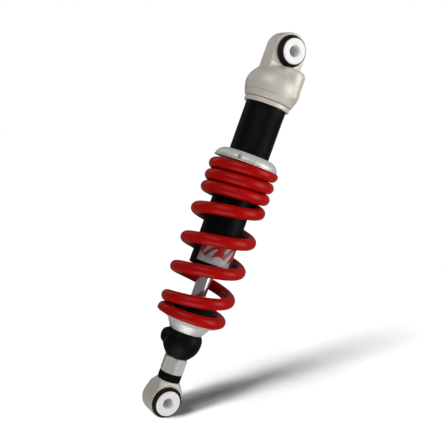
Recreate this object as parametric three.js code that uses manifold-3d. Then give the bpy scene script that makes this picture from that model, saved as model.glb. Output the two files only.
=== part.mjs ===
// Rear monoshock absorber for a motorcycle: a coil spring around a gas-charged damper, with an eye at
// each end. Millimetres, +Z up along the damper's axis, origin at the centre of the upper eye. The axes
// of both eyes lie along Y, and angles about Z are counted from +X. The damper is at full extension.
import * as THREE from "three";
import { mergeVertices } from "three/addons/utils/BufferGeometryUtils.js";
import Module from "manifold-3d";

const wasm = await Module();
wasm.setup();

// ---------------------------------------------------------------- driving dimensions

const EYE_DISTANCE = 401; // upper eye centre to lower eye centre, at full extension
const GAP = 0.3; // between pieces that touch
const ROUND = 24; // sides of a large round piece
const SMALL = 16; // sides of a small round piece

// An eye is a lug with a rubber bush in it, and a steel sleeve for an M12 bolt in the bush.
const UPPER_LUG = { radius: 20, width: 20, lipRadius: 17.3, height: 0 };
const LOWER_LUG = { radius: 18.4, width: 25, lipRadius: 17.2, height: -EYE_DISTANCE };
const LUG_BORE = 15.9;
const SLEEVE_RADIUS = 13.9;
const SLEEVE_LENGTH = 36;
const BOLT_RADIUS = 6;
const BUSH_LIP = 1.3; // thickness of the rubber over each face of the lug
const NOSE_RADIUS = 14.7; // the rubber tapers along the sleeve to a nose near each end
const NOSE_END = 17;

// The damper tube and the head that closes it.
const TUBE_RADIUS = 22.5;
const TUBE_BORE = 20;
const TUBE_TOP = -39.8;
const TUBE_END = -248.8;
const HEAD_TOP = -17.8;
const HEAD_BOTTOM = -58;
const LOCK_RING_BOTTOM = -63.4;
const CHAMBER_TOP = -32.8;
const SHOULDER_ANGLE = -57; // the shoulder beside the lug, which holds the gas valve
const SHOULDER_OFFSET = 15.7;
const SHOULDER_RADIUS = 15.6;
const VALVE_OFFSET = 22;
const VALVE_RADIUS = 3.3;

// The piston rod, from its lower end to the piston.
const ROD_RADIUS = 8;
const ROD_THREAD = 6; // radius of the rod's lower end
const ROD_SPIGOT = 5; // radius of the rod's upper end, which carries the piston
const ROD_BORE = 2.5;
const ROD_BOTTOM = -380.8;
const THREAD_TOP = -327.8;
const SPIGOT_BOTTOM = -213.8;
const ROD_TOP = -183.8;
const PISTON_RADIUS = TUBE_BORE - GAP;

// The main spring: right-handed, closed at the foot, open in the middle and closely wound at the top.
const SPRING_TOP = -130;
const SPRING_BOTTOM = -308.4;
const WIRE_RADIUS = 6.4;
const END_COIL_RADIUS = 32; // to the wire's centre
const MIDDLE_COIL_RADIUS = 34.3;
const SPRING_TURNS = 8;
const SPRING_START_ANGLE = 96;
const SPRING_START_HEIGHT = -307.4;
const STEPS_PER_TURN = 18;
const TURN_AND_PITCH = [
  [0, 9.2],
  [0.65, 9.2],
  [1.35, 33.8],
  [4.55, 33.8],
  [4.95, 13.3],
  [SPRING_TURNS, 13.3],
];

// The spring's two seats, and the nut that sets its preload.
const NUT_TOP = -119.4;
const NUT_BOTTOM = -128.3;
const NUT_RADIUS = 35;
const NUT_NOTCHES = 4;
const FIRST_NOTCH_ANGLE = 226;
const SEAT_HUB_RADIUS = 24.9;
const SEAT_HUB_BORE = TUBE_RADIUS + GAP;

// The foot, from the lower seat down to the lower eye.
const PERCH_TOP = -323.4;
const PERCH_BOTTOM = -352.4;
const PERCH_RADIUS = 21.5;
const BOSS_ANGLE = 172; // the perch's side boss, with a grub screw in it
const BOSS_HEIGHT = -332.2;
const LOCK_NUT_BOTTOM = -370.8;
const LOCK_NUT_FLATS = 24;
const LOCK_NUT_CORNER_ANGLE = -110;
const REBOUND_RING_RADIUS = 12.8;
const REBOUND_RING_BOTTOM = -379.1;
const SHANK_RADIUS = 9; // the lower eye's shank, inside the rebound ring
const CROSS_PIN_HEIGHT = -376.1;
const CROSS_PIN_RADIUS = 1.2;
const CROSS_PIN_LENGTH = 21;

// ---------------------------------------------------------------- materials

const material = (color, roughness, metalness) =>
  new THREE.MeshStandardMaterial({ color, roughness, metalness });
const FORGED = material(0xbdb8a8, 0.45, 0.6);
const TURNED = material(0xe4e4e0, 0.3, 0.8);
const CHROME = material(0xd8d8dc, 0.08, 1);
const BLACK = material(0x0b0b0c, 0.5, 0.2);
const RUBBER = material(0x151515, 0.8, 0);
const RED = material(0xa3120f, 0.35, 0);
const STEEL = material(0x8e8f92, 0.35, 0.9);
const BRONZE = material(0x8a6a3a, 0.4, 0.8);

// ---------------------------------------------------------------- shape helpers

const radians = THREE.MathUtils.degToRad;
const shock = new THREE.Group();

function add(name, geometry, look) {
  const mesh = new THREE.Mesh(geometry, look);
  mesh.name = name;
  shock.add(mesh);
}

// A body of revolution about Z from [radius, z] points, which run anticlockwise. The profile starts and
// ends on the axis, or else it is closed here.
function spin(profile, sides = ROUND) {
  const points = profile.map(([r, z]) => new THREE.Vector2(r, z));
  if (profile[0][0] !== 0) points.push(points[0].clone());
  return new THREE.LatheGeometry(points, sides).rotateX(Math.PI / 2);
}

const ring = (inner, outer, bottom, top, sides = ROUND) =>
  spin([[inner, bottom], [outer, bottom], [outer, top], [inner, top]], sides);

const rod = (radius, bottom, top, sides = SMALL) =>
  spin([[0, bottom], [radius, bottom], [radius, top], [0, top]], sides);

// An O-ring about Z.
function oRing(middleRadius, sectionRadius, z) {
  const corners = 6;
  const profile = [];
  for (let i = 0; i < corners; i++) {
    const a = (i / corners) * 2 * Math.PI;
    profile.push([middleRadius + sectionRadius * Math.cos(a), z + sectionRadius * Math.sin(a)]);
  }
  return spin(profile);
}

// Turns a body made about Z to lie along Y, at an eye's height.
const alongY = (geometry, z) => geometry.rotateX(Math.PI / 2).translate(0, 0, z);

// An outline in XZ, drawn with z as its second coordinate and given a width along Y.
const slab = (outline, width, segments) =>
  new THREE.ExtrudeGeometry(outline, { depth: width, bevelEnabled: false, curveSegments: segments })
    .rotateX(Math.PI / 2)
    .translate(0, width / 2, 0);

// An outline in XY, given a height along Z.
const plate = (outline, bottom, top, segments) =>
  new THREE.ExtrudeGeometry(outline, {
    depth: top - bottom,
    bevelEnabled: false,
    curveSegments: segments,
  }).translate(0, 0, bottom);

const circularHole = (radius) => new THREE.Path().absarc(0, 0, radius, 0, 2 * Math.PI, true);

// A hexagon nut about Z.
function hexagonNut(flats, bore, bottom, top, cornerAngle) {
  const corner = flats / 2 / Math.cos(Math.PI / 6);
  const outline = new THREE.Shape();
  for (let i = 0; i < 6; i++) {
    const a = radians(cornerAngle + 60 * i);
    if (i === 0) outline.moveTo(corner * Math.cos(a), corner * Math.sin(a));
    else outline.lineTo(corner * Math.cos(a), corner * Math.sin(a));
  }
  outline.closePath();
  outline.holes.push(circularHole(bore));
  return plate(outline, bottom, top, SMALL);
}

// Places a copy of a body at a distance from the axis, in a direction given in degrees.
function offAxis(geometry, distance, angle) {
  const a = radians(angle);
  return geometry.translate(distance * Math.cos(a), distance * Math.sin(a), 0);
}

function solidOf(geometry) {
  const bare = geometry.clone();
  bare.deleteAttribute("normal");
  bare.deleteAttribute("uv");
  const merged = mergeVertices(bare, 1e-4);
  return new wasm.Manifold(
    new wasm.Mesh({
      numProp: 3,
      vertProperties: merged.attributes.position.array,
      triVerts: new Uint32Array(merged.index.array),
    }),
  );
}

function geometryOf(solid) {
  const mesh = solid.getMesh();
  return new THREE.BufferGeometry()
    .setAttribute("position", new THREE.BufferAttribute(mesh.vertProperties, 3))
    .setIndex(new THREE.BufferAttribute(mesh.triVerts, 1));
}

// ---------------------------------------------------------------- bushes and sleeves of the eyes

const lugBore = (lug) => solidOf(alongY(rod(LUG_BORE, -lug.width, lug.width, ROUND), lug.height));

function addBushAndSleeve(prefix, lug) {
  const inner = SLEEVE_RADIUS + GAP;
  const outer = LUG_BORE - GAP;
  const lipStart = lug.width / 2 + GAP;
  const lipEnd = lipStart + BUSH_LIP;
  const bush = [
    [inner, -NOSE_END],
    [NOSE_RADIUS, -NOSE_END],
    [lug.lipRadius, -lipEnd],
    [lug.lipRadius, -lipStart],
    [outer, -lipStart],
    [outer, lipStart],
    [lug.lipRadius, lipStart],
    [lug.lipRadius, lipEnd],
    [NOSE_RADIUS, NOSE_END],
    [inner, NOSE_END],
  ];
  add(`${prefix}_eye_bush`, alongY(spin(bush), lug.height), RUBBER);

  const end = SLEEVE_LENGTH / 2;
  const chamfer = 0.6;
  const sleeve = [
    [BOLT_RADIUS, -end],
    [SLEEVE_RADIUS - chamfer, -end],
    [SLEEVE_RADIUS, -end + chamfer],
    [SLEEVE_RADIUS, end - chamfer],
    [SLEEVE_RADIUS - chamfer, end],
    [BOLT_RADIUS, end],
  ];
  add(`${prefix}_eye_sleeve`, alongY(spin(sleeve), lug.height), TURNED);
}

// ---------------------------------------------------------------- head and gas valve

function addHead() {
  const flank = new THREE.SplineCurve([
    new THREE.Vector2(26.4, HEAD_BOTTOM),
    new THREE.Vector2(28.9, -51.2),
    new THREE.Vector2(30.5, -43.3),
    new THREE.Vector2(29.3, -36.4),
    new THREE.Vector2(26, -30.1),
    new THREE.Vector2(20, -23.3),
  ]);
  const dome = spin([
    [0, HEAD_BOTTOM],
    ...flank.getPoints(8).map((p) => [p.x, p.y]),
    [12, HEAD_TOP - 1.5],
    [0, HEAD_TOP],
  ]);

  const edge = 7;
  const shoulderBottom = -47.8;
  const shoulder = spin([
    [0, shoulderBottom],
    [SHOULDER_RADIUS, shoulderBottom],
    [SHOULDER_RADIUS, HEAD_TOP - edge],
    [SHOULDER_RADIUS - 0.3 * edge, HEAD_TOP - 0.3 * edge],
    [SHOULDER_RADIUS - edge, HEAD_TOP],
    [0, HEAD_TOP],
  ]);

  const outline = new THREE.Shape();
  outline.moveTo(-UPPER_LUG.radius, CHAMBER_TOP);
  outline.lineTo(UPPER_LUG.radius, CHAMBER_TOP);
  outline.absarc(0, 0, UPPER_LUG.radius, 0, Math.PI, false);
  outline.closePath();

  const socket = TUBE_RADIUS + GAP;
  const chamber = spin([
    [0, HEAD_BOTTOM - 1],
    [socket, HEAD_BOTTOM - 1],
    [socket, TUBE_TOP + GAP],
    [TUBE_BORE, TUBE_TOP + GAP],
    [TUBE_BORE, CHAMBER_TOP],
    [0, CHAMBER_TOP],
  ]);
  const valveHole = offAxis(rod(VALVE_RADIUS + GAP, CHAMBER_TOP - 1, 0, 12), VALVE_OFFSET, SHOULDER_ANGLE);

  const head = solidOf(dome)
    .add(solidOf(offAxis(shoulder, SHOULDER_OFFSET, SHOULDER_ANGLE)))
    .add(solidOf(slab(outline, UPPER_LUG.width, 12)))
    .subtract(solidOf(chamber))
    .subtract(solidOf(valveHole))
    .subtract(lugBore(UPPER_LUG));
  add("head_cap", geometryOf(head), FORGED);

  const valve = rod(VALVE_RADIUS, HEAD_TOP - 11, HEAD_TOP - 4, 12);
  add("gas_valve_plug", offAxis(valve, VALVE_OFFSET, SHOULDER_ANGLE), STEEL);
}

function addLockRing() {
  const top = HEAD_BOTTOM - GAP;
  const lockRing = [
    [TUBE_RADIUS + GAP, LOCK_RING_BOTTOM],
    [24.6, LOCK_RING_BOTTOM],
    [25.4, LOCK_RING_BOTTOM + 1],
    [25.4, top - 1.2],
    [24.4, top],
    [TUBE_RADIUS + GAP, top],
  ];
  add("head_lock_ring", spin(lockRing), FORGED);
}

// ---------------------------------------------------------------- damper tube and its seals

const O_RING_SECTION = 0.65;

function addTube() {
  const grooveTop = -44.8;
  const grooveBottom = -46.7;
  const grooveFloor = 21.1;
  const clipTop = -242.3;
  const clipBottom = -244.1;
  const clipFloor = 21;
  const tube = [
    [TUBE_BORE, TUBE_END],
    [TUBE_RADIUS, TUBE_END],
    [TUBE_RADIUS, grooveBottom],
    [grooveFloor, grooveBottom],
    [grooveFloor, grooveTop],
    [TUBE_RADIUS, grooveTop],
    [TUBE_RADIUS, TUBE_TOP],
    [TUBE_BORE, TUBE_TOP],
    [TUBE_BORE, clipTop],
    [clipFloor, clipTop],
    [clipFloor, clipBottom],
    [TUBE_BORE, clipBottom],
  ];
  add("damper_tube", spin(tube), BLACK);
  add("tube_o_ring", oRing(21.95, O_RING_SECTION, (grooveTop + grooveBottom) / 2), RUBBER);

  const clip = new THREE.Shape();
  const mouth = radians(20);
  clip.absarc(0, 0, clipFloor - GAP, mouth, 2 * Math.PI - mouth, false);
  clip.absarc(0, 0, 17.5, 2 * Math.PI - mouth, mouth, true);
  clip.closePath();
  add("circlip", plate(clip, clipBottom + GAP, clipTop - GAP, SMALL), STEEL);
}

function addRodGuide() {
  const top = -224.3;
  const bottom = -242.3;
  const sealTop = -236.8;
  const grooveTop = -233.5;
  const grooveBottom = -235.5;
  const guide = [
    [13.3, bottom],
    [PISTON_RADIUS, bottom],
    [PISTON_RADIUS, grooveBottom],
    [18, grooveBottom],
    [18, grooveTop],
    [PISTON_RADIUS, grooveTop],
    [PISTON_RADIUS, top],
    [8.6, top],
    [8.6, top - 1.2],
    [9.9, top - 1.2],
    [9.9, sealTop],
    [13.3, sealTop],
  ];
  add("rod_guide", spin(guide), TURNED);
  add("guide_o_ring", oRing(19, O_RING_SECTION, (grooveTop + grooveBottom) / 2), RUBBER);
  add("guide_bush", ring(ROD_RADIUS + GAP, 9.6, sealTop + GAP, top - 1.5), BRONZE);
  add("oil_seal", ring(ROD_RADIUS + GAP, 13, bottom + GAP, sealTop - GAP), RUBBER);

  const capBottom = TUBE_END + 0.2;
  const capTop = -244.4;
  add("tube_end_cap", ring(11.3, PISTON_RADIUS, capBottom, capTop), TURNED);
  add("rod_wiper", ring(ROD_RADIUS + GAP, 11, capBottom, capTop - GAP), RUBBER);
}

function addFloatingPiston() {
  const top = -63.8;
  const bottom = -79.8;
  const grooveTop = -70.8;
  const grooveBottom = -72.8;
  const skirt = 15;
  const floating = [
    [0, bottom],
    [PISTON_RADIUS, bottom],
    [PISTON_RADIUS, grooveBottom],
    [18, grooveBottom],
    [18, grooveTop],
    [PISTON_RADIUS, grooveTop],
    [PISTON_RADIUS, top],
    [skirt, top],
    [skirt, bottom + 5],
    [0, bottom + 5],
  ];
  add("floating_piston", spin(floating), TURNED);
  add("floating_piston_o_ring", oRing(19, O_RING_SECTION, (grooveTop + grooveBottom) / 2), RUBBER);
}

// ---------------------------------------------------------------- rod, piston and valve stacks

// The slot through which the cross pin reaches the needle.
const crossSlot = (length) =>
  solidOf(new THREE.BoxGeometry(length, 3, 5.6).translate(0, 0, CROSS_PIN_HEIGHT + 0.9));

function addRod() {
  const pistonRod = spin(
    [
      [ROD_BORE, ROD_BOTTOM],
      [ROD_THREAD, ROD_BOTTOM],
      [ROD_THREAD, THREAD_TOP],
      [ROD_RADIUS, THREAD_TOP + 1],
      [ROD_RADIUS, SPIGOT_BOTTOM],
      [ROD_SPIGOT, SPIGOT_BOTTOM],
      [ROD_SPIGOT, ROD_TOP],
      [ROD_BORE, ROD_TOP],
    ],
    SMALL,
  );
  add("piston_rod", geometryOf(solidOf(pistonRod).subtract(crossSlot(2.5 * ROD_THREAD))), CHROME);
}

function addPistonStack() {
  const bore = ROD_SPIGOT + GAP;
  const pistonBottom = -208.9;
  const pistonTop = -196.9;
  add("top_out_bumper", ring(ROD_RADIUS + GAP, 13.5, -224, SPIGOT_BOTTOM - GAP, SMALL), RUBBER);
  add("top_out_plate", ring(bore, 15, SPIGOT_BOTTOM + GAP, -211.7, SMALL), STEEL);

  const compressionShims = [[bore, -211.2], [9, -211.2], [16, -209.2], [bore, -209.2]];
  add("compression_shims", spin(compressionShims, SMALL), STEEL);

  const piston = spin(
    [
      [bore, pistonBottom],
      [PISTON_RADIUS, pistonBottom],
      [PISTON_RADIUS, -205.4],
      [18.2, -205.4],
      [18.2, -200.4],
      [PISTON_RADIUS, -200.4],
      [PISTON_RADIUS, pistonTop],
      [bore, pistonTop],
    ],
  );
  let ported = solidOf(piston);
  const ports = 6;
  for (let i = 0; i < ports; i++) {
    const port = rod(2.2, pistonBottom - 1, pistonTop + 1, 8);
    ported = ported.subtract(solidOf(offAxis(port, 12, (360 / ports) * i)));
  }
  add("piston", geometryOf(ported), TURNED);
  add("piston_band", ring(18.5, 19.75, -205.1, -200.7), BRONZE);

  const reboundShims = [[bore, -196.6], [16, -196.6], [9, -194.6], [bore, -194.6]];
  add("rebound_shims", spin(reboundShims, SMALL), STEEL);
  add("backing_washer", ring(bore, 9, -194.3, -192.3, SMALL), STEEL);
  add("piston_nut", hexagonNut(16, bore, -192, -185, 0), STEEL);
}

function addReboundAdjuster() {
  const needleBottom = CROSS_PIN_HEIGHT + CROSS_PIN_RADIUS + GAP;
  const needleRadius = 2.1;
  const needle = [
    [0, needleBottom],
    [needleRadius, needleBottom],
    [needleRadius, ROD_TOP - 9],
    [0, ROD_TOP - 4],
  ];
  add("rebound_needle", spin(needle, 8), STEEL);

  const pin = rod(CROSS_PIN_RADIUS, -CROSS_PIN_LENGTH / 2, CROSS_PIN_LENGTH / 2, 12);
  add("rebound_cross_pin", pin.rotateY(Math.PI / 2).translate(0, 0, CROSS_PIN_HEIGHT), STEEL);

  // The ring has a groove inside, where the pin's ends ride.
  const top = LOCK_NUT_BOTTOM - GAP;
  const grooveRadius = CROSS_PIN_LENGTH / 2 + GAP;
  const reboundRing = [
    [SHANK_RADIUS + GAP, REBOUND_RING_BOTTOM],
    [12.2, REBOUND_RING_BOTTOM],
    [REBOUND_RING_RADIUS, REBOUND_RING_BOTTOM + 0.6],
    [REBOUND_RING_RADIUS, top - 0.6],
    [12.2, top],
    [SHANK_RADIUS + GAP, top],
    [SHANK_RADIUS + GAP, -372.6],
    [grooveRadius, -372.6],
    [grooveRadius, -377.8],
    [SHANK_RADIUS + GAP, -377.8],
  ];
  add("rebound_ring", spin(reboundRing), BLACK);
}

// ---------------------------------------------------------------- spring, seats and preload nut

// Height of the wire's centre after a number of turns, from the pitch integrated in straight stretches.
function wireHeight(turn) {
  let height = SPRING_START_HEIGHT;
  for (let i = 1; i < TURN_AND_PITCH.length; i++) {
    const [start, startPitch] = TURN_AND_PITCH[i - 1];
    const [end, endPitch] = TURN_AND_PITCH[i];
    const part = THREE.MathUtils.clamp((turn - start) / (end - start), 0, 1);
    height += (end - start) * part * (startPitch + (part * (endPitch - startPitch)) / 2);
  }
  return height;
}

// Distance of the wire's centre from the axis: the open coils are a little wider than the ends.
function coilRadius(turn) {
  const rise = THREE.MathUtils.smoothstep(turn, 0.8, 1.9);
  const fall = THREE.MathUtils.smoothstep(turn, 4.1, 4.9);
  return END_COIL_RADIUS + (MIDDLE_COIL_RADIUS - END_COIL_RADIUS) * (rise - fall);
}

class CoilCurve extends THREE.Curve {
  getPoint(t, target = new THREE.Vector3()) {
    const turn = t * SPRING_TURNS;
    const a = radians(SPRING_START_ANGLE) + turn * 2 * Math.PI;
    const radius = coilRadius(turn);
    return target.set(radius * Math.cos(a), radius * Math.sin(a), wireHeight(turn));
  }
}

function addSpring() {
  const wire = new THREE.Shape().absarc(0, 0, WIRE_RADIUS, 0, 2 * Math.PI, false);
  const coil = new THREE.ExtrudeGeometry(wire, {
    steps: Math.round(SPRING_TURNS * STEPS_PER_TURN),
    curveSegments: 5,
    extrudePath: new CoilCurve(),
  });
  const groundEnds = solidOf(rod(60, SPRING_BOTTOM, SPRING_TOP, 8));
  add("main_spring", geometryOf(solidOf(coil).intersect(groundEnds)), RED);
}

function addPreloadNut() {
  const seatTop = NUT_BOTTOM - GAP;
  const flangeBottom = SPRING_TOP + GAP;
  const upperSeat = [
    [SEAT_HUB_BORE, SPRING_TOP - 8],
    [SEAT_HUB_RADIUS - 1, SPRING_TOP - 8],
    [SEAT_HUB_RADIUS, SPRING_TOP - 7],
    [SEAT_HUB_RADIUS, flangeBottom],
    [NUT_RADIUS + 1, flangeBottom],
    [NUT_RADIUS + 1, seatTop],
    [SEAT_HUB_BORE, seatTop],
  ];
  add("upper_spring_seat", spin(upperSeat), TURNED);

  const nut = spin([
    [SEAT_HUB_BORE, NUT_BOTTOM],
    [NUT_RADIUS, NUT_BOTTOM],
    [NUT_RADIUS, NUT_BOTTOM + 2],
    [33.5, NUT_TOP - 4.5],
    [31, NUT_TOP - 1.8],
    [27.5, NUT_TOP],
    [SEAT_HUB_BORE, NUT_TOP],
  ]);
  let notched = solidOf(nut);
  const floorRadius = 25.5;
  for (let i = 0; i < NUT_NOTCHES; i++) {
    const notch = new THREE.BoxGeometry(14, 5.5, 20).translate(floorRadius + 7, 0, NUT_TOP);
    notch.rotateZ(radians(FIRST_NOTCH_ANGLE + (360 / NUT_NOTCHES) * i));
    notched = notched.subtract(solidOf(notch));
  }
  add("preload_nut", geometryOf(notched), TURNED);
}

function addLowerSeat() {
  const top = SPRING_BOTTOM - GAP;
  const seat = [
    [ROD_RADIUS + GAP, PERCH_TOP + GAP],
    [18.3, PERCH_TOP + GAP],
    [24.5, -313],
    [31, top - 1.6],
    [31, top],
    [SEAT_HUB_RADIUS, top],
    [SEAT_HUB_RADIUS, -302],
    [SEAT_HUB_RADIUS - 1, -301],
    [SEAT_HUB_BORE, -301],
    [SEAT_HUB_BORE, -306.8],
    [ROD_RADIUS + GAP, -306.8],
  ];
  add("lower_spring_seat", spin(seat), TURNED);

  const bumper = [
    [ROD_RADIUS + GAP, -306.5],
    [21.5, -306.5],
    [22.3, -302.8],
    [21.2, -297.8],
    [22.3, -292.8],
    [21, -287.8],
    [18, -285.8],
    [ROD_RADIUS + GAP, -285.8],
  ];
  add("bump_stop", spin(bumper), RUBBER);
}

// ---------------------------------------------------------------- foot and lower eye

function addPerch() {
  const flank = new THREE.SplineCurve([
    new THREE.Vector2(12.9, PERCH_BOTTOM),
    new THREE.Vector2(18.4, -345.2),
    new THREE.Vector2(21, -338.8),
    new THREE.Vector2(PERCH_RADIUS, -331.8),
    new THREE.Vector2(20.6, -326.8),
    new THREE.Vector2(18.2, PERCH_TOP),
  ]);
  const bulb = spin([
    [ROD_THREAD + GAP, PERCH_BOTTOM],
    ...flank.getPoints(8).map((p) => [p.x, p.y]),
    [ROD_RADIUS + GAP, PERCH_TOP],
    [ROD_RADIUS + GAP, THREAD_TOP - 0.5],
    [ROD_THREAD + GAP, THREAD_TOP - 1.5],
  ]);
  const toSide = (geometry) =>
    geometry.rotateY(Math.PI / 2).rotateZ(radians(BOSS_ANGLE)).translate(0, 0, BOSS_HEIGHT);
  const boss = toSide(spin([[0, 12], [8.4, 12], [8, 20], [6, 23.6], [3.5, 24.4], [0, 24.4]], SMALL));
  const screwHole = toSide(rod(2.8, 11.7, 30, 12));
  const perch = solidOf(bulb).add(solidOf(boss)).subtract(solidOf(screwHole));
  add("spring_perch", geometryOf(perch), BLACK);
  add("perch_grub_screw", toSide(rod(2.5, 12, 22, 12)), STEEL);
}

function addLockNut() {
  const top = PERCH_BOTTOM - GAP;
  const bore = ROD_THREAD + GAP;
  add("lock_nut", hexagonNut(LOCK_NUT_FLATS, bore, LOCK_NUT_BOTTOM, top, LOCK_NUT_CORNER_ANGLE), TURNED);
}

function addLowerEye() {
  const z = LOWER_LUG.height;
  const neckTop = REBOUND_RING_BOTTOM - GAP;
  const neckRadius = 12.6;
  const outline = new THREE.Shape();
  const tangent = radians(28);
  outline.moveTo(neckRadius, neckTop);
  outline.lineTo(-neckRadius, neckTop);
  outline.absarc(0, z, LOWER_LUG.radius, Math.PI - tangent, tangent, false);
  outline.closePath();
  const neckCone = spin([[0, z - 30], [24, z - 30], [24, neckTop - 13], [13.2, neckTop], [0, neckTop]]);
  const shank = rod(SHANK_RADIUS, neckTop - 3, LOCK_NUT_BOTTOM - GAP);
  const rodSocket = rod(ROD_THREAD + GAP, ROD_BOTTOM - 2, LOCK_NUT_BOTTOM + 1);
  const eye = solidOf(slab(outline, LOWER_LUG.width, 12))
    .intersect(solidOf(neckCone))
    .add(solidOf(shank))
    .subtract(solidOf(rodSocket))
    .subtract(crossSlot(3 * SHANK_RADIUS))
    .subtract(lugBore(LOWER_LUG));
  add("lower_eye", geometryOf(eye), FORGED);
}

// ---------------------------------------------------------------- the whole shock absorber

addHead();
addLockRing();
addBushAndSleeve("upper", UPPER_LUG);
addTube();
addRodGuide();
addFloatingPiston();
addRod();
addPistonStack();
addReboundAdjuster();
addSpring();
addPreloadNut();
addLowerSeat();
addPerch();
addLockNut();
addLowerEye();
addBushAndSleeve("lower", LOWER_LUG);

export default shock;
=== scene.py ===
# A motorcycle's rear shock absorber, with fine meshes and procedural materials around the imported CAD
# frame. The frame is in metres, +Z up along the damper's axis, with its origin at the upper eye's
# centre. Shapes are worked out in millimetres and scaled when their vertices are made.
import math

import bmesh
import bpy
import numpy as np
from mathutils import Matrix, Vector


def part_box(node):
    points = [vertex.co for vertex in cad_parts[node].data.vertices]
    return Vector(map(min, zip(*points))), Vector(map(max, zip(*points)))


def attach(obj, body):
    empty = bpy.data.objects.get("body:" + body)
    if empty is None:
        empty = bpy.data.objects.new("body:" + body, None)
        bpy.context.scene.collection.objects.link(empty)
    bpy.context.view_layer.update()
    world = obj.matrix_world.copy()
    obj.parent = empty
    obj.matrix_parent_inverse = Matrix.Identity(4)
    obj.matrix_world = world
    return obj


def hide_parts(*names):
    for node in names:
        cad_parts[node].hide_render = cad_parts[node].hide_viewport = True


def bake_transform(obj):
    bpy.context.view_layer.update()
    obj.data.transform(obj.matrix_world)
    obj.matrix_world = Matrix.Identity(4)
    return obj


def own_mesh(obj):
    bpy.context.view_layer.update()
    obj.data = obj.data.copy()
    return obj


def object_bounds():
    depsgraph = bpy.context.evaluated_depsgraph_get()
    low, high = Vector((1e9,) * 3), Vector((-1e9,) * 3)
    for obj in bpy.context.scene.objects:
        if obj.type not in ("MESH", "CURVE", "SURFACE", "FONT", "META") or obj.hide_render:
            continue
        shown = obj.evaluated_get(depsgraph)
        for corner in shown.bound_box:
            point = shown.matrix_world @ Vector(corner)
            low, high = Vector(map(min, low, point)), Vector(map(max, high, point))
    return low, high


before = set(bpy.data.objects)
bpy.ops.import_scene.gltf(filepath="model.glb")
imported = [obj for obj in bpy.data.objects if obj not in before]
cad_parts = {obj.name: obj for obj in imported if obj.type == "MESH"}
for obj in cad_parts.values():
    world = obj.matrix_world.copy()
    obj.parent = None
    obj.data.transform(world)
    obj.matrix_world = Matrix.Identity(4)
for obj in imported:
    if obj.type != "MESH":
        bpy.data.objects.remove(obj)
CAD_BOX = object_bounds()
MM = 0.001


# ---------------------------------------------------------------- places and sizes from the frame

def low(node, axis):
    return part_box(node)[0][axis] / MM


def high(node, axis):
    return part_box(node)[1][axis] / MM


X, Y, Z = range(3)
EYES = {
    "upper": {"z": 0.0, "body": "damper_body", "sleeve_body": "upper_sleeve"},
    "lower": {
        "z": (low("lower_eye_sleeve", Z) + high("lower_eye_sleeve", Z)) / 2,
        "body": "rod_assembly",
        "sleeve_body": "lower_sleeve",
    },
}
GAP = 0.3
LUG_BORE = 15.9
BOLT_BORE = 6.0
UPPER_LUG_WIDTH = 20.0
LOWER_LUG_WIDTH = high("lower_eye", Y) - low("lower_eye", Y)
UPPER_LUG_RADIUS = high("head_cap", Z)
LOWER_LUG_RADIUS = EYES["lower"]["z"] - low("lower_eye", Z)

HEAD_BOTTOM = low("head_cap", Z)
HEAD_TOP = high("gas_valve_plug", Z) + 4
RING_BOTTOM = low("head_lock_ring", Z)
RING_TOP = high("head_lock_ring", Z)
TUBE_RADIUS = high("damper_tube", Y)
TUBE_BORE = high("floating_piston", Y) + GAP
TUBE_TOP = high("damper_tube", Z)
TUBE_END = low("damper_tube", Z)
SEAT_BORE = TUBE_RADIUS + GAP

SPRING_TOP = high("main_spring", Z)
SPRING_BOTTOM = low("main_spring", Z)
WIRE_RADIUS = 6.4
END_COIL_RADIUS = 32.0
MIDDLE_COIL_RADIUS = 34.2
SPRING_TURNS = 8
SPRING_START_ANGLE = math.radians(96)
SPRING_START_HEIGHT = SPRING_BOTTOM + 1.0
CLOSED_PITCH = 2 * WIRE_RADIUS + 0.1
TURN_AND_PITCH = [(0, 9.2), (0.65, 9.2), (1.35, 33.8), (4.55, 33.8), (4.95, 13.3), (SPRING_TURNS, 13.3)]

ROD_RADIUS = 8.0
ROD_THREAD = 6.0
THREAD_TOP = -327.8
PERCH_TOP = high("spring_perch", Z)
PERCH_BOTTOM = low("spring_perch", Z)
NUT_TOP = high("lock_nut", Z)
NUT_BOTTOM = low("lock_nut", Z)
CROSS_PIN_Z = (low("rebound_cross_pin", Z) + high("rebound_cross_pin", Z)) / 2
CROSS_SLOT = (3.0, 5.6, CROSS_PIN_Z + 0.9)
BOSS_ANGLE = 172
BOSS_Z = (low("perch_grub_screw", Z) + high("perch_grub_screw", Z)) / 2

LABEL_ANGLES = (math.radians(-162), math.radians(-41))
LABEL_TOP = -221.8
LABEL_BOTTOM = -242.8
LABEL_MIDDLE = -235.3
LABEL_DARK_FROM = TUBE_RADIUS * math.radians(-58)
SHARD_SPACING = 9.7
SHARD_GROUPING = 23.0
SHARD_SLANT = -0.7


# ---------------------------------------------------------------- material helpers

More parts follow.
